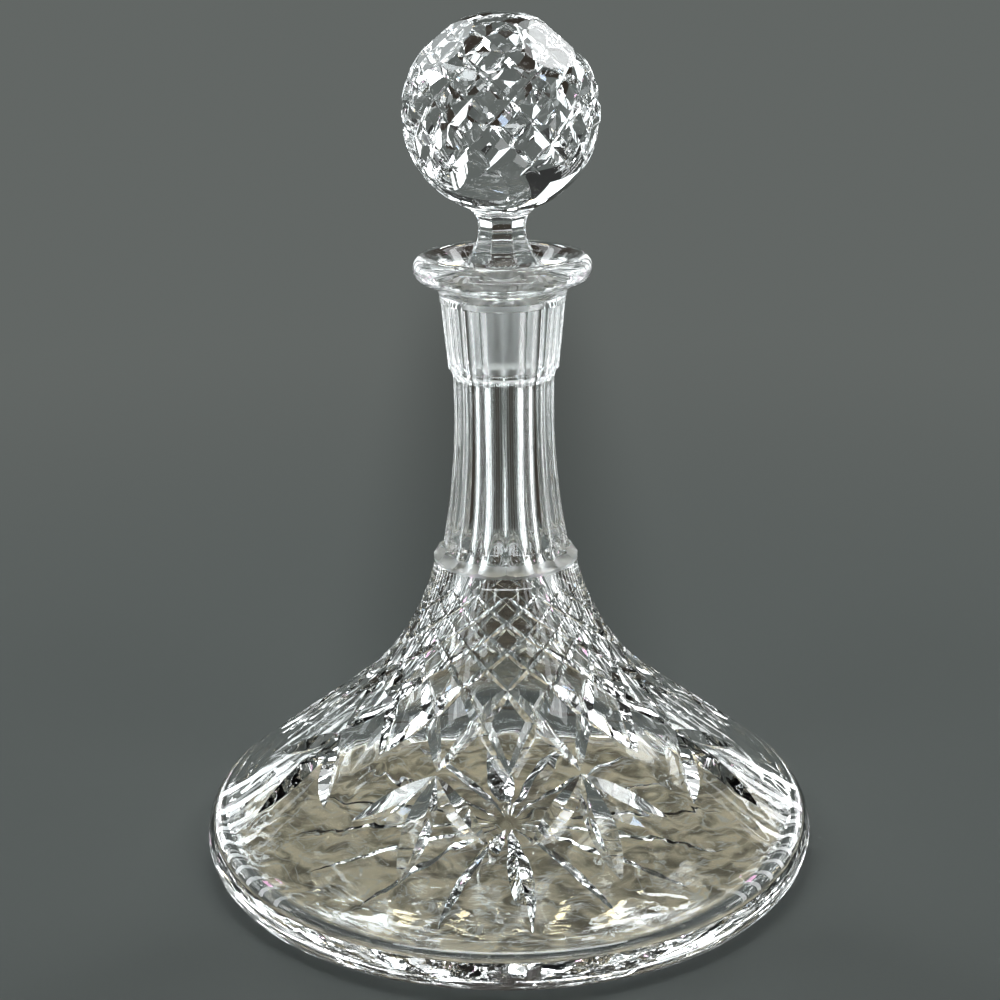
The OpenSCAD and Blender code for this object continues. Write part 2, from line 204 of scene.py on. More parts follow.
class DecanterCutSizes(bpy.types.PropertyGroup):
    """Sizes of the cuts on the shoulder and under the foot"""

    star_count: count("Stars", 8, "Number of leaf stars round the body")
    star_z: length("Star height", 0.0475, "Height of the middle of the leaf stars")
    leaf_z: length("Leaf tip", 0.0256, "Height of the tip of the middle leaf")
    leaf_w: length("Leaf width", 0.0095, "Width of the middle leaf")
    leaf_depth: length("Leaf depth", 0.0026, "Depth of the middle leaf")
    side_leaf_z: length("Side leaf tip", 0.0345, "Height of the tip of a side leaf")
    side_leaf_turn: angle("Side leaf turn", 17.8, "Turn of the tip of a side leaf away from the star")
    side_leaf_w: length("Side leaf width", 0.007, "Width of a side leaf")
    side_leaf_depth: length("Side leaf depth", 0.002, "Depth of a side leaf")
    net_top_z: length("Net top", 0.093, "Height of the upper ends of the crossing cuts")
    net_row: length("Net row", 0.00385, "Height from one row of crossings to the next near the neck")
    net_end_z: length("Net end", 0.0486, "Height of the lower ends of the crossing cuts")
    net_angle: angle("Net angle", 52.0, "Half angle of the crossing cuts")
    net_fine: length("Fine cuts", 0.0005, "Depth of the crossing cuts near the neck")
    net_mid: length("Middle cuts", 0.0005, "Further depth where the cuts cross halfway down")
    net_deep: length("Deep cuts", 0.0016, "Further depth of the arms above the stars")
    ray_count: count("Rays", 16, "Number of rays in the star under the foot")
    ray_turn: angle("Ray turn", 5.0, "Turn of the first ray from the front")
    ray_reach_d: length("Ray reach", 0.142, "Diameter that the rays reach")
    ray_start: length("Ray start", 0.0025, "Gap between the middle of the foot and a ray")
    ray_w: length("Ray width", 0.008, "Width of a ray")
    ray_depth: length("Ray depth", 0.0024, "Depth of a ray")


class DecanterGlassLook(bpy.types.PropertyGroup):
    """Finish of the glass"""

    tint: colour("Tint", (0.975, 0.99, 0.985), "Colour of the clear glass")
    polish: share("Polish", 0.004, "Roughness of the polished faces")
    ground: share("Ground", 0.31, "Roughness of the ground faces of the joint and the crest")
    smear: share("Smear", 0.03, "Extra roughness of handled places")
    wave: share("Wave", 0.5, "Waviness of the blown hollow")
    ground_r: length("Ground reach", 0.0088, "Distance from the axis within which the joint is ground")
    socket_low: length("Ground socket", 0.159, "Height of the lower end of the ground socket")
    plug_low: length("Ground plug", 0.160, "Height from which the plug is ground")
    ground_high: length("Ground top", 0.181, "Height up to which the joint is ground")
    ledge_r: length("Ledge reach", 0.0194, "Distance from the axis outside which the crest is ground")
    ledge_low: length("Ledge foot", 0.0982, "Height from which the crest is ground")
    ledge_high: length("Ledge top", 0.1014, "Height up to which the crest is ground")


class DecanterStageLook(bpy.types.PropertyGroup):
    """Colours and light of the studio"""

    floor: colour("Floor", (0.147, 0.161, 0.154), "Colour of the floor and backdrop")
    mat: colour("Mat", (0.70, 0.605, 0.44), "Colour of the floor under the foot")
    room: colour("Room", (0.03, 0.03, 0.03), "Colour of the room above the backdrop")
    flag: colour("Flag", (0.035, 0.028, 0.022), "Colour of the dark cards behind, which only the glass shows")
    over: power("Lamps over", 12.0, "Power of the strips overhead together")
    front: power("Lamps in front", 1.5, "Power of each box high in front")
    wing: power("Lamps aside", 2.5, "Power of each box high at the sides")
    behind: power("Lamps behind", 0.026, "Power of each strip behind")
    rim: power("Front card", 2.2, "Power of the long low card in front")
    spot: power("Spots", 0.4, "Power of each small lamp that the glass catches")
    soft: power("Soft cards", 1.0, "Power of each broad soft card")
    near: power("Near cards", 0.015, "Power of each card beside the ball")
    low: power("Low cards", 0.015, "Power of each low card beside the foot")
    card: power("Side cards", 0.4, "Power of each upright strip at the sides")


def arc(centre, radius, start, end, steps):
    """Points on a circle about centre, from one angle in radians to another."""
    turn = np.linspace(start, end, steps)
    return np.column_stack((centre[0] + radius * np.cos(turn), centre[1] + radius * np.sin(turn)))


def line(a, b, steps):
    """Points between a and b, both ends left out."""
    way = np.linspace(0.0, 1.0, steps + 2)[1:-1, None]
    return np.asarray(a) + way * (np.asarray(b) - np.asarray(a))


def bearing(vector):
    """Angle of a plane vector."""
    return math.atan2(vector[1], vector[0])


def body_lines(body, stopper):
    """Centres and touching points of the body's arcs, each as (radius, height).

    The outer slope touches the rim's circle and the shoulder's sweep; the inner slope is that line set in by the wall.
    """
    rim_c = np.array((body.foot_d / 2 - body.rim_round, body.rim_z))
    sweep_c = np.array((body.crest_d / 2 + body.shoulder_sweep * math.cos(body.crest_lean),
                        body.crest_z + body.shoulder_sweep * math.sin(body.crest_lean)))
    rise = sweep_c - rim_c
    slope = bearing(rise) - math.acos((body.rim_round + body.shoulder_sweep) / np.linalg.norm(rise))
    out = np.array((math.cos(slope), math.sin(slope)))
    inner_reach = out @ rim_c + body.rim_round - body.wall
    inner_r = body.bore_d / 2 + body.bore_sweep
    inner_c = np.array((inner_r, (inner_reach + body.bore_sweep - out[0] * inner_r) / out[1]))
    corner_z = body.floor_t + body.hollow_round
    corner_c = np.array(((inner_reach - body.hollow_round - out[1] * corner_z) / out[0], corner_z))
    half = math.pi / body.flute_count
    collar_top_r = body.collar_top_w / 2 / math.cos(half) + COLLAR_SPARE
    lip_c = np.array((body.lip_d / 2 - body.lip_round, body.lip_z))
    fillet_r = collar_top_r + body.lip_fillet
    fillet_c = np.array((fillet_r, body.lip_z - math.sqrt((body.lip_fillet + body.lip_round) ** 2
                                                          - (fillet_r - lip_c[0]) ** 2)))
    plug_top = stopper.plug_z + stopper.plug_len
    plug_end_r = stopper.plug_d / 2 - stopper.plug_len * math.tan(stopper.taper)
    socket_top = np.array((stopper.plug_d / 2 + stopper.seat_gap, plug_top))
    socket_end_z = stopper.plug_z - SOCKET_DROP
    socket_end_r = plug_end_r + stopper.seat_gap - SOCKET_DROP * math.tan(stopper.taper)
    run = lip_c - socket_top
    funnel = bearing(run) + math.asin(body.lip_round / np.linalg.norm(run))
    return SimpleNamespace(
        rim_c=rim_c, sweep_c=sweep_c, slope=slope, out=out,
        rim_t=rim_c + body.rim_round * out, sweep_t=sweep_c - body.shoulder_sweep * out,
        inner_c=inner_c, corner_c=corner_c,
        collar_r=body.collar_w / 2 / math.cos(half) + COLLAR_SPARE, collar_top_r=collar_top_r,
        lip_c=lip_c, fillet_c=fillet_c, plug_top=plug_top, plug_end_r=plug_end_r,
        socket_top=socket_top, socket_end=np.array((socket_end_r, socket_end_z)), funnel=funnel)


def body_profile(body, stopper):
    """The body's section from the middle of the foot, up the outside, over the lip and down inside to the floor."""
    at = body_lines(body, stopper)
    foot_turn = -math.asin(body.rim_z / body.rim_round)
    head_z = body.collar_z - body.collar_step
    neck_r = body.crest_d / 2
    to_fillet = bearing(at.lip_c - at.fillet_c)
    funnel_end = at.lip_c + body.lip_round * np.array((-math.sin(at.funnel), math.cos(at.funnel)))
    outer_rim = arc(at.rim_c, body.rim_round, foot_turn, at.slope, 22)
    outer_sweep = arc(at.sweep_c, body.shoulder_sweep, at.slope + math.pi, math.pi + body.crest_lean, 34)
    inner_t = at.inner_c - body.bore_sweep * at.out
    corner_t = at.corner_c + body.hollow_round * at.out
    return np.vstack((
        [(0.0, 0.0)],
        line((0.0, 0.0), outer_rim[0], 8),
        outer_rim,
        line(at.rim_t, at.sweep_t, 10),
        outer_sweep,
        line((neck_r, body.crest_z), (neck_r, body.flute_foot_z), 2),
        [(neck_r, body.flute_foot_z)],
        line((neck_r, body.flute_foot_z), (at.collar_r, head_z), 8),
        [(at.collar_r, head_z), (at.collar_r, body.collar_z)],
        line((at.collar_r, body.collar_z), (at.collar_top_r, body.collar_top_z), 4),
        [(at.collar_top_r, body.collar_top_z)],
        arc(at.fillet_c, body.lip_fillet, math.pi, to_fillet, 10),
        arc(at.lip_c, body.lip_round, to_fillet - math.pi, at.funnel + math.pi / 2, 22)[1:],
        line(funnel_end, at.socket_top, 5),
        [at.socket_top],
        line(at.socket_top, at.socket_end, 8),
        [at.socket_end, (body.bore_d / 2, at.socket_end[1])],
        line((body.bore_d / 2, at.socket_end[1]), (body.bore_d / 2, at.inner_c[1]), 6),
        arc(at.inner_c, body.bore_sweep, math.pi, math.pi + at.slope, 34),
        line(inner_t, corner_t, 10),
        arc(at.corner_c, body.hollow_round, at.slope, -math.pi / 2, 14),
        line((at.corner_c[0], body.floor_t), (0.0, body.floor_t), 8),
        [(0.0, body.floor_t)],
    ))


def stopper_lines(stopper):
    """Centres of the stopper's arcs, each as (radius, height), with the ball's radius and the stem's waist height.

    The stem's two curves meet at its waist. The upper one touches the ball, and the lower one the shoulder's bead.
    """
    ball_r = stopper.ball_d / 2
    stem_r = stopper.stem_w / 2 / math.cos(math.pi / stopper.stem_flats)
    stem_z = stopper.ball_z - math.sqrt((ball_r + stopper.ball_fillet) ** 2 - (stem_r + stopper.ball_fillet) ** 2)
    bead_r = stopper.shoulder_d / 2 - stopper.shoulder_round
    bead_z = stem_z - math.sqrt((stopper.stem_sweep + stopper.shoulder_round) ** 2
                                - (stem_r + stopper.stem_sweep - bead_r) ** 2)
    return SimpleNamespace(
        ball_r=ball_r, stem_z=stem_z, bead_c=np.array((bead_r, bead_z)),
        stem_c=np.array((stem_r + stopper.stem_sweep, stem_z)),
        fillet_c=np.array((stem_r + stopper.ball_fillet, stem_z)), ball_c=np.array((0.0, stopper.ball_z)))


def stopper_profile(body, stopper):
    """The stopper's section from the foot of the plug, up the shoulder, stem and ball to the top of the ball."""
    plug, at = body_lines(body, stopper), stopper_lines(stopper)
    plug_top = np.array((stopper.plug_d / 2, plug.plug_top))
    reach = at.bead_c - plug_top
    under = bearing(-reach) + math.acos(stopper.shoulder_round / np.linalg.norm(reach))
    over = bearing(at.stem_c - at.bead_c)
    ball_start = bearing(at.fillet_c - at.ball_c)
    return np.vstack((
        [(0.0, stopper.plug_z)],
        line((0.0, stopper.plug_z), (plug.plug_end_r, stopper.plug_z), 2),
        [(plug.plug_end_r, stopper.plug_z)],
        line((plug.plug_end_r, stopper.plug_z), plug_top, 8),
        [plug_top],
        arc(at.bead_c, stopper.shoulder_round, under, over, 12),
        arc(at.stem_c, stopper.stem_sweep, over + math.pi, math.pi, 12)[1:],
        arc(at.fillet_c, stopper.ball_fillet, math.pi, ball_start + math.pi, 8)[1:],
        arc(at.ball_c, at.ball_r, ball_start, math.pi / 2, 72)[1:-1],
        [(0.0, stopper.ball_z + at.ball_r)],
    ))


def skin(body, stopper, turn, z):
    """Points of the shoulder's outer face, turned from the front, and the face's outward direction there.

    Below the touching point the radius falls along the slope; above it, it follows the sweep's circle.
    """
    at = body_lines(body, stopper)
    on_slope = z < at.sweep_t[1]
    slope_r = at.rim_t[0] + (z - at.rim_t[1]) * (at.sweep_t[0] - at.rim_t[0]) / (at.sweep_t[1] - at.rim_t[1])
    drop = np.clip((at.sweep_c[1] - z) / body.shoulder_sweep, -1.0, 1.0)
    radius = np.where(on_slope, slope_r, at.sweep_c[0] - body.shoulder_sweep * np.sqrt(1.0 - drop ** 2))
    lean = np.where(on_slope, at.slope, np.arcsin(drop))
    aside, ahead = np.sin(turn), -np.cos(turn)
    point = np.stack((radius * aside, radius * ahead, z + 0.0 * turn), axis=-1)
    out = np.stack((np.cos(lean) * aside, np.cos(lean) * ahead, np.sin(lean) + 0.0 * turn), axis=-1)
    return point, out


def unit(vectors):
    """Vectors of length one."""
    return vectors / np.linalg.norm(vectors, axis=-1, keepdims=True)


def turned(profile, segments):
    """A section that starts and ends on the axis, turned round it: rings of points, and one point at each pole."""
    rings = len(profile) - 2
    turn = np.arange(segments) * 2 * math.pi / segments - math.pi / 2
    radius, height = profile[1:-1, 0, None], profile[1:-1, 1, None]
    grid = np.stack((radius * np.cos(turn), radius * np.sin(turn), height + 0.0 * turn), axis=-1).reshape(-1, 3)
    points = np.vstack((grid, [(0.0, 0.0, profile[0, 1])], [(0.0, 0.0, profile[-1, 1])]))
    ring, here = np.arange(rings - 1)[:, None] * segments, np.arange(segments)
    there = (here + 1) % segments
    quads = np.stack((ring + here, ring + there, ring + segments + there, ring + segments + here), axis=-1)
    last = (rings - 1) * segments
    low, high = np.full(segments, len(grid)), np.full(segments, len(grid) + 1)
    caps = np.vstack((np.column_stack((low, there, here)), np.column_stack((last + here, last + there, high))))
    return points, quads.reshape(-1, 4).tolist() + caps.tolist()


def tubes(sections):
    """Closed tubes from an array of sections: tubes x stations x corners x 3, with a flat cap at each end."""
    total, stations, corners, _ = sections.shape
    base = np.arange(total)[:, None, None] * stations * corners
    station, here = np.arange(stations - 1)[:, None] * corners, np.arange(corners)
    there = (here + 1) % corners
    sides = np.stack((station + here, station + there, station + corners + there, station + corners + here), axis=-1)
    sides = (base[..., None] + sides).reshape(-1, 4)
    first = base[:, 0] + here[::-1]
    last = base[:, 0] + (stations - 1) * corners + here
    points = sections.reshape(-1, 3)
    a, b, c, d = (points[sides[:, k]] for k in range(4))
    volume = np.sum(a * np.cross(b, c)) + np.sum(a * np.cross(c, d))
    faces = sides.tolist() + first.tolist() + last.tolist()
    if volume < 0:
        faces = [face[::-1] for face in faces]
    return points, faces


def mitres(path, out, depth, half_angle):
    """V-shaped cuts along paths on a surface.

    Each section is a triangle: its root lies depth below the surface along the outward direction, and its flanks open
    by the half angle up to a top that stands clear of the surface.
    """
    along = unit(np.gradient(path, axis=1))
    aside = unit(np.cross(out, along))
    up = np.cross(along, aside)
    clear = CLEAR + CLEAR_SHARE * depth
    half_w = (depth + clear) * math.tan(half_angle)
    root = path - depth[..., None] * up
    top = path + clear[..., None] * up
    return tubes(np.stack((top - half_w[..., None] * aside, root, top + half_w[..., None] * aside), axis=2))


def panels(edge_r, height, reach, width, turns):
    """Upright tools with a rectangular section, whose inner face follows a radius given for each height."""
    half = width / 2
    radial = np.stack((edge_r, edge_r, 0 * edge_r + reach, 0 * edge_r + reach), axis=-1)
    side = np.array((-half, half, half, -half)) + 0 * radial
    aside, ahead = np.sin(turns)[:, None, None], -np.cos(turns)[:, None, None]
    return tubes(np.stack((radial * aside - side * ahead, radial * ahead + side * aside,
                           height[:, None] + 0 * radial + 0 * aside), axis=-1))


def flute_edge(body):
    """Radius of a flute's face at each height: round run-out, long hollow curve, round head, step and collar panel."""
    head_z = body.collar_z - body.collar_step
    flute_c = np.array((body.neck_w / 2 + body.flute_sweep, body.waist_z))
    foot_turn = math.asin((body.waist_z - body.flute_foot_z) / body.flute_sweep)
    head_turn = math.asin((head_z - body.waist_z) / body.flute_sweep)
    to_foot = np.array((math.cos(foot_turn), math.sin(foot_turn)))
    to_head = np.array((math.cos(head_turn), -math.sin(head_turn)))
    foot_c = flute_c - (body.flute_sweep - body.flute_foot_round) * to_foot
    head_c = flute_c - (body.flute_sweep - body.flute_head_round) * to_head
    step_turn = math.acos((head_c[0] - body.collar_w / 2) / body.flute_head_round)
    edge = np.vstack((
        arc(foot_c, body.flute_foot_round, RUN_OUT, math.pi + foot_turn, 20),
        arc(flute_c, body.flute_sweep, math.pi + foot_turn, math.pi - head_turn, 24)[1:],
        arc(head_c, body.flute_head_round, math.pi - head_turn, math.pi - step_turn, 8)[1:],
        [(body.collar_w / 2, body.collar_z)],
        line((body.collar_w / 2, body.collar_z), (body.collar_top_w / 2, body.collar_top_z), 3),
        [(body.collar_top_w / 2, body.collar_top_z)],
    ))
    return edge[:, 0], edge[:, 1]


def flute_tools(body, first):
    """Every second flute from the first one given, so that no two tools meet.

    Across its width a flute is an arc of the wheel's radius that passes through its two edges, which lie where the flat
    face of the same flute would have them.
    """
    radius, height = (values[:, None] for values in flute_edge(body))
    half = math.pi / body.flute_count
    wheel, edge = body.flute_wheel, radius * math.tan(half)
    spread = np.linspace(-FLUTE_RUN, FLUTE_RUN, 13) * edge
    face = radius - np.sqrt(wheel ** 2 - spread ** 2) + np.sqrt(wheel ** 2 - edge ** 2)
    reach = body.crest_d + 0.0 * radius
    reach_side = FLUTE_RUN * reach * math.tan(half)
    radial = np.hstack((face, reach, reach))
    side = np.hstack((spread, reach_side, -reach_side))
    turn = ((np.arange(first, body.flute_count, 2) + 0.5) * 2 * half)[:, None, None]
    aside, ahead = np.sin(turn), -np.cos(turn)
    return tubes(np.stack((radial * aside - side * ahead, radial * ahead + side * aside,
                           height + 0 * radial + 0 * aside), axis=-1))


def star_turns(cuts):
    """Turns of the stars, with a plain point of the net at the front between two of them."""
    return (np.arange(cuts.star_count) + 0.5) * 2 * math.pi / cuts.star_count


def leaf_tools(body, stopper, cuts, way):
    """Leaves of the stars, from the star's middle to the tip: the depth falls as 1 - s^2 from the leaf's middle."""
    s = np.linspace(-LEAF_RUN, LEAF_RUN, 25)
    grow = (s + 1) / 2
    tip_z = cuts.side_leaf_z if way else cuts.leaf_z
    depth = cuts.side_leaf_depth if way else cuts.leaf_depth
    width = cuts.side_leaf_w if way else cuts.leaf_w
    turn = star_turns(cuts)[:, None] + way * cuts.side_leaf_turn * grow
    path, out = skin(body, stopper, turn, cuts.star_z + (tip_z - cuts.star_z) * grow + 0 * turn)
    return mitres(path, out, depth * (1 - s ** 2) + 0 * turn, math.atan2(width / 2, depth))


def net_tools(body, stopper, cuts, way):
    """Crossing cuts that climb one way from the stars to the crest, through eight rows of crossings.

    A cut turns by half a star's step from one row to the next. Its height falls by an even step and, near the stars, by
    a further drop that grows as the sixth power of the row. Its depth has a leaf's bulge, 1 - s^2, above the stars and
    a lesser one above that. Both ends taper, and stand just clear of the glass.
    """
    last = NET_ROWS + NET_AFTER
    row = np.linspace(-NET_BEFORE, last, 120)
    drop = cuts.net_top_z - NET_ROWS * cuts.net_row - cuts.net_end_z
    height = cuts.net_top_z - row * cuts.net_row - drop * (row / NET_ROWS) ** 6
    turns = np.arange(2 * cuts.star_count)[:, None] * math.pi / cuts.star_count
    turn = turns + way * row * math.pi / (2 * cuts.star_count)
    arm, middle = (np.maximum(1 - ((row - at) / NET_BULGE) ** 2, 0.0) for at in (NET_ARM, NET_MIDDLE))
    ends = np.minimum((row + NET_BEFORE) / NET_TAPER_TOP, (last - row) / NET_TAPER_END)
    depth = (cuts.net_fine + cuts.net_mid * middle + cuts.net_deep * arm) * np.clip(ends, 0.0, 1.0)
    depth = depth - NET_CLEAR * (ends < 0.02)
    path, out = skin(body, stopper, turn, height + 0 * turn)
    return mitres(path, out, depth + 0 * turn, cuts.net_angle)


def ray_tools(cuts):
    """Rays of the star under the foot: mitre cuts along radii, deepest halfway."""
    s = np.linspace(-RAY_RUN, RAY_RUN, 21)
    half = (cuts.ray_reach_d / 2 - cuts.ray_start) / 2
    radius = cuts.ray_start + half * (1 + s)
    turn = (cuts.ray_turn + np.arange(cuts.ray_count) * 2 * math.pi / cuts.ray_count)[:, None]
    path = np.stack((radius * np.sin(turn), -radius * np.cos(turn), 0 * radius * turn), axis=-1)
    down = np.array((0.0, 0.0, -1.0)) + 0 * path
    return mitres(path, down, cuts.ray_depth * (1 - s ** 2) + 0 * turn, math.atan2(cuts.ray_w / 2, cuts.ray_depth))


def ball_tools(stopper, way):
    """Mitre cuts that lean one way over the ball, in planes through its middle.

    The root of a cut is a circle about a centre set back from the ball's, so it is deepest halfway and runs out at both
    ends: its distance from the ball's middle is -b cos(f) + sqrt(c^2 - b^2 sin(f)^2), where f is the turn from halfway,
    b the setback and c the circle's radius.
    """
    span = (stopper.ball_cut_low + stopper.ball_cut_high) / 2
    middle = (stopper.ball_cut_high - stopper.ball_cut_low) / 2
    ball_r = stopper.ball_d / 2
    root_r = ball_r - stopper.ball_cut_depth + (0.0 if way > 0 else stopper.ball_cut_under)
    back = (ball_r ** 2 - root_r ** 2) / (2 * (root_r - ball_r * math.cos(span)))
    from_middle = np.linspace(-BALL_RUN * span, BALL_RUN * span, 41)
    along = from_middle + middle
    turn = np.arange(stopper.ball_cuts)[:, None] * 2 * math.pi / stopper.ball_cuts + stopper.ball_turn
    ahead = np.stack((np.sin(turn), -np.cos(turn), 0 * turn), axis=-1)
    climb = np.stack((way * math.cos(stopper.ball_cut_slope) * np.cos(turn),
                      way * math.cos(stopper.ball_cut_slope) * np.sin(turn),
                      math.sin(stopper.ball_cut_slope) + 0 * turn), axis=-1)
    out = np.cos(along)[:, None] * ahead + np.sin(along)[:, None] * climb
    path = out * ball_r + np.array((0.0, 0.0, stopper.ball_z))
    root = np.sqrt((root_r + back) ** 2 - (back * np.sin(from_middle)) ** 2) - back * np.cos(from_middle)
    return mitres(path, out, ball_r - root + 0 * turn, stopper.ball_cut_angle)


def panel_tools(stopper, first, last):
    """Flat panels round the top of the ball, every second one from the first to the last."""
    turn = np.arange(first, last + 1, 2)[:, None, None] * 2 * math.pi / stopper.ball_panels + stopper.ball_turn
    rise = stopper.panel_rise
    zero = 0 * turn
    out = np.stack((math.cos(rise) * np.sin(turn), -math.cos(rise) * np.cos(turn), math.sin(rise) + zero), axis=-1)
    aside = np.stack((np.cos(turn), np.sin(turn), zero), axis=-1)
    up = np.cross(out, aside)
    ball_r, clear, half_w = stopper.ball_d / 2, 0.002, 0.0125
    far = np.array((ball_r - stopper.panel_depth, ball_r + clear))[:, None, None]
    corner_a, corner_u = (np.array(c)[:, None] * half_w for c in ((-1, 1, 1, -1), (-1, -1, 1, 1)))
    return tubes(far * out + corner_a * aside + corner_u * up + np.array((0.0, 0.0, stopper.ball_z)))


def stem_tools(stopper, first):
    """Every second flat of the stem: the stem's two curves moved in to the flats."""
    at = stopper_lines(stopper)
    flat, beyond, fillet_end = stopper.stem_w / 2, 0.022, math.radians(75)
    low = np.arcsin(np.linspace((at.bead_c[1] - at.stem_z) / stopper.stem_sweep, 0.0, 14))
    high = np.linspace(0.0, fillet_end, 8)[1:]
    bend = np.concatenate((stopper.stem_sweep + 0 * low, stopper.ball_fillet + 0 * high))
    along = np.concatenate((low, high))
    turns = np.arange(first, stopper.stem_flats, 2) * 2 * math.pi / stopper.stem_flats
    return panels(flat + bend * (1 - np.cos(along)), at.stem_z + bend * np.sin(along), beyond, stopper.stem_w, turns)


def add_mesh(name, points, faces):
    """A mesh object at the origin, linked to the scene."""
    mesh = bpy.data.meshes.new(name)
    mesh.from_pydata(points.tolist(), [], faces)
    mesh.validate()
    piece = bpy.data.objects.new(name, mesh)
    bpy.context.scene.collection.objects.link(piece)
    return piece


def cut_away(piece, tools):
    """Cut each set of tools out of a piece in turn, and keep the result as the piece's own mesh."""
    blades = [add_mesh(f"{piece.name}_tool", *tool) for tool in tools]
    for blade in blades:
        cut = piece.modifiers.new("cut", "BOOLEAN")
        cut.operation, cut.solver, cut.object = "DIFFERENCE", "MANIFOLD", blade
    result = bpy.data.meshes.new_from_object(piece.evaluated_get(bpy.context.evaluated_depsgraph_get()))
    piece.modifiers.clear()
    blank, piece.data = piece.data, result
    result.name = piece.name
    result.materials.clear()
    result.polygons.foreach_set("material_index", np.zeros(len(result.polygons), dtype=np.int32))
    bpy.data.meshes.remove(blank)
    for blade in blades:
        bpy.data.meshes.remove(blade.data)


def polish(piece, edge_angle):
    """Smooth shading, with a crisp edge wherever two faces meet at more than the angle."""
    piece.data.shade_smooth()
    piece.data.set_sharp_from_angle(angle=edge_angle)


class Wire:
    """A shader socket that takes part in Python arithmetic through Math nodes."""

    def __init__(self, graph, socket):
        self.graph, self.socket = graph, socket

    def maths(self, operation, *others):
        """What a Math node makes of this wire and of further values."""
        return self.graph.node("ShaderNodeMath", {"operation": operation}, dict(enumerate((self, *others))))

    def fade(self, start, end):
        """A smooth step: 0 up to the start, 1 from the end on; the other way round where the end is the lower."""
        low, high = min(start, end), max(start, end)
        return self.graph.node("ShaderNodeMapRange", {"interpolation_type": "SMOOTHSTEP"}, {
            "Value": self, "From Min": low, "From Max": high,
            "To Min": float(start > end), "To Max": float(start < end)})

    def __add__(self, other):
        return self.maths("ADD", other)

    def __sub__(self, other):
        return self.maths("SUBTRACT", other)

    def __rsub__(self, other):
        return self.graph.node("ShaderNodeMath", {"operation": "SUBTRACT"}, {0: other, 1: self})

    def __mul__(self, other):
        return self.maths("MULTIPLY", other)

    def __gt__(self, other):
        return self.maths("GREATER_THAN", other)

    def __lt__(self, other):
        return self.maths("LESS_THAN", other)

    __radd__, __rmul__ = __add__, __mul__


class Graph:
    """The node tree of one material or world."""

    def __init__(self, owner):
        owner.use_nodes = True
        self.tree = owner.node_tree
        self.tree.nodes.clear()

    def node(self, kind, settings=None, inputs=None, output=0):
        """Add a node: its settings first, then the values or links of its sockets."""
        made = self.tree.nodes.new(kind)
        for key, value in (settings or {}).items():
            setattr(made, key, value)
        for key, value in (inputs or {}).items():
            if isinstance(value, Wire):
                self.tree.links.new(value.socket, made.inputs[key])
            else:
                made.inputs[key].default_value = value
        return Wire(self, made.outputs[output]) if made.outputs else made

    def place(self):
        """The place on the object, whole and as its three coordinates."""
        whole = self.node("ShaderNodeTexCoord", output="Object")
        parts = self.node("ShaderNodeSeparateXYZ", None, {"Vector": whole}).socket.node
        return whole, *(Wire(self, part) for part in parts.outputs)

    def noise(self, place, scale, detail, distortion=0.0):
        """Soft noise round 0.5."""
        return self.node("ShaderNodeTexNoise", None, {
            "Vector": place, "Scale": scale, "Detail": detail, "Distortion": distortion}, "Fac")

    def blend(self, factor, a, b):
        """A colour between two, each given as three numbers or a wire."""
        a, b = (tone if isinstance(tone, Wire) else (*tone, 1.0) for tone in (a, b))
        return self.node("ShaderNodeMix", {"data_type": "RGBA"}, {"Factor": factor, 6: a, 7: b}, 2)

    def bump(self, strength, distance, height):
        """A normal from a height."""
        return self.node("ShaderNodeBump", None, {"Strength": strength, "Distance": distance, "Height": height})


def shaded(tone, factor):
    """A colour made darker or lighter."""
    return tuple(factor * c for c in tone)


def crystal(name, look, low, hollow=None):
    """Clear polished crystal, faintly smeared by hands, and ground close to the axis from the given height up.

    A blown hollow is given as the outward direction of its slope, the slope's reach along it, its floor and its radius:
    its faces are wavy, because no wheel has touched them. The piece with the hollow also has the ground ledge at its
    crest.
    """
    material = bpy.data.materials.new(name)
    graph = Graph(material)
    place, x, y, z = graph.place()
    square = x * x + y * y
    reach = square.maths("SQRT")
    ground = (square < look.ground_r ** 2) * (z > low) * (z < look.ground_high)
    smear = graph.noise(place, 38.0, 3.0)
    grit = graph.noise(place, 2600.0, 2.0)
    ripple = graph.noise(place, 46.0, 1.0)
    ring = graph.noise(graph.node("ShaderNodeCombineXYZ", None, {"X": reach, "Y": z}), 260.0, 2.0)
    handled = (smear - 0.52).maths("MAXIMUM", 0.0)
    if hollow:
        ground = ground + (square > look.ledge_r ** 2) * (z > look.ledge_low) * (z < look.ledge_high)
    rough = look.polish + handled * look.smear + ground * look.ground * (0.8 + 0.4 * grit)
    relief = ripple * 0.18 + ring * z.fade(0.030, 0.018) * 0.07 + ground * grit * 0.02
    if hollow:
        out, slope_reach, floor, radius = hollow
        inside = (z > floor) * (reach < radius) * ((reach * out[0] + z * out[1]) < slope_reach)
        wave = graph.noise(place, 70.0, 1.0, 0.8)
        relief = relief + wave * inside * z.fade(0.075, 0.045) * look.wave
    glass = graph.node("ShaderNodeBsdfPrincipled", None, {
        "Base Color": (*look.tint, 1.0), "Roughness": rough, "IOR": 1.54, "Transmission Weight": 1.0,
        "Normal": graph.bump(1.0, 0.0006, relief)})
    graph.node("ShaderNodeOutputMaterial", None, {"Surface": glass})
    return material


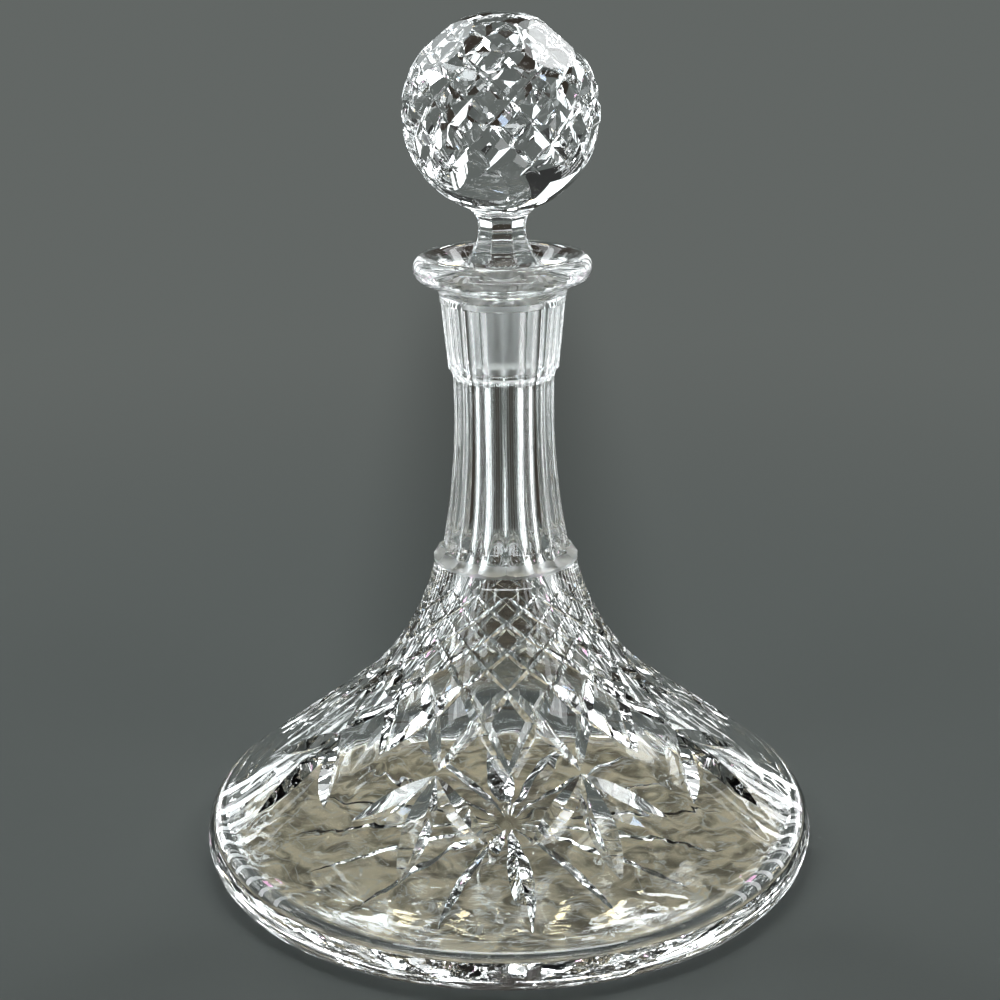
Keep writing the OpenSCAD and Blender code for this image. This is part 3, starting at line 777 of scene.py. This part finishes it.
def paper(name, tone, middle):
    """Matt studio paper with a faint tooth, warm and mottled under the foot, with a soft shade painted into its colour
    behind the decanter in place of a shadow.

    Further out it glows evenly in its own colour, so that no lamp marks the backdrop; the painted shade darkens that
    glow as well.
    """
    material = bpy.data.materials.new(name)
    graph = Graph(material)
    place, x, y, _ = graph.place()
    reach = graph.node("ShaderNodeVectorMath", {"operation": "LENGTH"}, {0: place}, "Value")
    # Painted shade: a soft dark streak on the paper straight behind the decanter, about two thirds as bright, painted
    # into the paper's colour and its glow (sheet_tone) in place of a shadow.
    painted_shade = x.maths("ABSOLUTE").fade(0.08, 0.015) * y.fade(0.0, 0.15) * y.fade(1.1, 0.6)
    sheet_tone = graph.blend(painted_shade, tone, shaded(tone, 0.66))
    grain = graph.noise(place, 75.0, 4.0, 1.5)
    mottled = graph.blend(grain.fade(0.36, 0.64), shaded(middle, 0.45), shaded(middle, 1.55))
    flow = graph.noise(place, 48.0, 2.0, 2.2)
    vein = (flow - 0.5).maths("ABSOLUTE").fade(0.022, 0.004)
    streaked = graph.blend(vein * 0.75, mottled, (0.95, 0.93, 0.86))
    sheet = graph.node("ShaderNodeBsdfPrincipled", None, {
        "Base Color": graph.blend(reach.fade(0.084, 0.094), streaked, sheet_tone), "Roughness": 0.85,
        "Specular IOR Level": 0.0, "Normal": graph.bump(0.05, 0.0005, graph.noise(place, 900.0, 2.0))})
    glow = graph.node("ShaderNodeEmission", None, {"Color": sheet_tone, "Strength": 0.84})
    mixed = graph.node("ShaderNodeMixShader", None, {"Fac": reach.fade(0.16, 0.75), 1: sheet, 2: glow})
    graph.node("ShaderNodeOutputMaterial", None, {"Surface": mixed})
    return material


def black_card(name, tone):
    """An even dark tone that no lamp changes."""
    material = bpy.data.materials.new(name)
    graph = Graph(material)
    graph.node("ShaderNodeOutputMaterial", None, {
        "Surface": graph.node("ShaderNodeEmission", None, {"Color": (*tone, 1.0), "Strength": 1.0})})
    return material


class DECANTER_OT_body(bpy.types.Operator):
    """Blow, cut and polish the decanter's body"""

    bl_idname = "decanter.body"
    bl_label = "Decanter Body"

    def execute(self, context):
        scene = context.scene
        body, stopper, cuts = scene.decanter_body, scene.decanter_stopper, scene.decanter_cuts
        piece = add_mesh("cut_body", *turned(body_profile(body, stopper), BODY_SEGMENTS))
        cut_away(piece, [
            flute_tools(body, 0), flute_tools(body, 1), ray_tools(cuts),
            *(leaf_tools(body, stopper, cuts, way) for way in (0, 1, -1)),
            *(net_tools(body, stopper, cuts, way) for way in (1, -1))])
        polish(piece, CRISP)
        at = body_lines(body, stopper)
        look, spare = scene.decanter_glass, 0.001
        hollow = (at.out, at.out @ at.rim_t - body.wall / 2, body.floor_t / 2,
                  at.corner_c[0] + body.hollow_round + spare)
        piece.data.materials.append(crystal("body crystal", look, look.socket_low, hollow))
        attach(piece, "body")
        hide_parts("decanter_body")
        return {"FINISHED"}


class DECANTER_OT_stopper(bpy.types.Operator):
    """Cut and polish the ball stopper"""

    bl_idname = "decanter.stopper"
    bl_label = "Ball Stopper"

    def execute(self, context):
        scene = context.scene
        body, stopper = scene.decanter_body, scene.decanter_stopper
        piece = add_mesh("ball_stopper", *turned(stopper_profile(body, stopper), STOPPER_SEGMENTS))
        last = stopper.ball_panels - 1
        cut_away(piece, [
            stem_tools(stopper, 0), stem_tools(stopper, 1),
            panel_tools(stopper, 0, last - 1), panel_tools(stopper, 1, last - 1), panel_tools(stopper, last, last),
            ball_tools(stopper, 1), ball_tools(stopper, -1)])
        polish(piece, CRISP)
        look = scene.decanter_glass
        piece.data.materials.append(crystal("stopper crystal", look, look.plug_low))
        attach(piece, "stopper")
        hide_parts("stopper")
        return {"FINISHED"}


class DECANTER_OT_stage(bpy.types.Operator):
    """Set up the floor, backdrop, lamps and camera"""

    bl_idname = "decanter.stage"
    bl_label = "Studio"

    def execute(self, context):
        scene, look = context.scene, context.scene.decanter_stage
        floor = add_mesh("studio_sweep", *self.sweep())
        floor.data.shade_smooth()
        floor.data.materials.append(paper("studio paper", look.floor, look.mat))
        black = black_card("flag black", look.flag)
        for name, y, low, high in FLAGS:
            corners = [(side * FLAG_HALF_W, y, z) for side, z in ((-1, low), (1, low), (1, high), (-1, high))]
            flag = add_mesh(name, np.array(corners), [(0, 1, 2, 3)])
            flag.visible_camera = flag.visible_diffuse = flag.visible_shadow = False
            flag.data.materials.append(black)
        self.lamps(look)
        world = bpy.data.worlds.new("studio room")
        graph = Graph(world)
        graph.node("ShaderNodeOutputWorld", None, {
            "Surface": graph.node("ShaderNodeBackground", None, {"Color": (*look.room, 1.0), "Strength": 1.0})})
        scene.world = world
        scene.view_settings.view_transform = "Standard"
        scene.cycles.max_bounces = 24
        scene.cycles.transmission_bounces = 24
        scene.cycles.glossy_bounces = 12
        view = bpy.data.cameras.new("photograph")
        view.lens, view.sensor_width, view.clip_start = LENS_MM, SENSOR_MM, 0.01
        eye = bpy.data.objects.new("photograph", view)
        eye.rotation_mode = "ZXY"
        eye.rotation_euler = (math.pi / 2 - EYE_DOWN, 0.0, EYE_ASIDE)
        eye.location = EYE
        scene.collection.objects.link(eye)
        scene.camera = eye
        return {"FINISHED"}

    def sweep(self):
        """A round floor that curves up into a wall: its section is turned round the upright axis."""
        wall = arc((SWEEP_FLAT, SWEEP_ROUND), SWEEP_ROUND, -math.pi / 2, 0.0, 24)
        profile = np.vstack((line((0.0, 0.0), wall[0], 8), wall, [(SWEEP_FLAT + SWEEP_ROUND, SWEEP_H)]))
        turn = np.arange(SWEEP_SEGMENTS) * 2 * math.pi / SWEEP_SEGMENTS
        grid = np.stack((profile[:, :1] * np.cos(turn), profile[:, :1] * np.sin(turn),
                         profile[:, 1:] - FLOOR_DROP + 0 * turn), axis=-1)
        rows, here = np.arange(len(grid) - 1)[:, None] * SWEEP_SEGMENTS, np.arange(SWEEP_SEGMENTS)
        there, middle = (here + 1) % SWEEP_SEGMENTS, len(grid) * SWEEP_SEGMENTS
        above = rows + SWEEP_SEGMENTS
        faces = np.stack((rows + here, above + here, above + there, rows + there), axis=-1)
        hub = np.column_stack((0 * here + middle, here, there))
        points = np.vstack((grid.reshape(-1, 3), [(0.0, 0.0, -FLOOR_DROP)]))
        return points, faces.reshape(-1, 4).tolist() + hub.tolist()

    def lamps(self, look):
        """Lamps that light the paper, and cards and small lamps that only the glass shows."""
        for k in range(4):
            self.lamp(f"strip over {k + 1}", (0.3 * k - 0.45, 0.45, 1.5), AIM_BODY, (0.12, 0.9), look.over / 4,
                      (0.96, 0.99, 1.0))
        self.lamp("strip low", (0.0, -0.75, 0.14), (0.0, 0.0, 0.05), (1.2, 0.06), look.rim, (0.93, 0.97, 1.0), False)
        self.lamp("soft over", (0.0, 0.28, 0.9), (0.0, 0.28, 0.0), (0.8, 0.45), look.soft, (0.97, 0.99, 1.0), False)
        for side, tone in ((-1, (0.93, 0.98, 1.0)), (1, (0.97, 0.99, 1.0))):
            self.lamp(f"soft card {side}", (0.45 * side, 0.5, 0.85), AIM_BALL, (0.4, 0.4), look.soft, tone, False)
            self.lamp(f"crown {side}", (0.72 * side, -0.65, 1.2), AIM_BODY, (0.4, 0.2), look.front, tone)
            self.lamp(f"wing {side}", (1.0 * side, 0.7, 1.2), AIM_BODY, (0.4, 0.4), look.wing, tone)
            for name, number, first, step, far, height, size, key in STRIPS:
                for k in range(number):
                    turn = math.radians(first + step * k)
                    self.lamp(f"{name} {side} {k + 1}", (far * side * math.sin(turn), far * math.cos(turn), height),
                              (0.0, 0.0, height), size, getattr(look, key), tone, False)
            for k, (turn, rise, hue) in enumerate(SPOTS):
                turn, rise = math.radians(turn), math.radians(rise)
                place = (SPOT_FAR * side * math.cos(rise) * math.sin(turn), -SPOT_FAR * math.cos(rise) * math.cos(turn),
                         AIM_BODY[2] + SPOT_FAR * math.sin(rise))
                self.lamp(f"spot {side} {k + 1}", place, AIM_BODY, SPOT_SIZE, look.spot, hue or tone, False)
            for k, y in enumerate((-0.34, -0.22)):
                self.lamp(f"card {side} {k + 1}", (0.37 * side, y, 0.38), (0.0, y, 0.38), (0.07, 0.5), look.card, tone,
                          False)

    def lamp(self, name, place, aim, size, watts, tone, on_paper=True):
        """A soft box that faces a point; a card is one that shows in the glass and leaves the paper alone."""
        light = bpy.data.lights.new(name, "AREA")
        light.shape, light.size, light.size_y = "RECTANGLE", *size
        light.energy, light.color = watts, tone
        box = bpy.data.objects.new(name, light)
        back = unit(np.array(place) - np.array(aim))
        box.location, box.visible_camera, box.visible_diffuse = place, False, on_paper
        box.rotation_euler = (math.acos(back[2]), 0.0, math.atan2(back[0], -back[1]))
        bpy.context.scene.collection.objects.link(box)


class DECANTER_PT_sidebar(bpy.types.Panel):
    """Sizes and finishes of the decanter"""

    bl_idname = "DECANTER_PT_sidebar"
    bl_label = "Decanter"
    bl_space_type = "VIEW_3D"
    bl_region_type = "UI"
    bl_category = "Decanter"

    def draw(self, context):
        for operator in (DECANTER_OT_body, DECANTER_OT_stopper, DECANTER_OT_stage):
            self.layout.operator(operator.bl_idname)
        for group in GROUPS:
            sizes = getattr(context.scene, group)
            box = self.layout.box()
            for key in sizes.__annotations__:
                box.prop(sizes, key)


GROUPS = {
    "decanter_body": DecanterBodySizes,
    "decanter_stopper": DecanterStopperSizes,
    "decanter_cuts": DecanterCutSizes,
    "decanter_glass": DecanterGlassLook,
    "decanter_stage": DecanterStageLook,
}
CLASSES = (*GROUPS.values(), DECANTER_OT_body, DECANTER_OT_stopper, DECANTER_OT_stage, DECANTER_PT_sidebar)


def register():
    for item in CLASSES:
        bpy.utils.register_class(item)
    for name, group in GROUPS.items():
        setattr(bpy.types.Scene, name, PointerProperty(type=group))


def unregister():
    for name in GROUPS:
        delattr(bpy.types.Scene, name)
    for item in reversed(CLASSES):
        bpy.utils.unregister_class(item)


def main():
    """Build both pieces and the studio."""
    register()
    bpy.ops.decanter.body()
    bpy.ops.decanter.stopper()
    bpy.ops.decanter.stage()


if __name__ == "__main__":
    main()
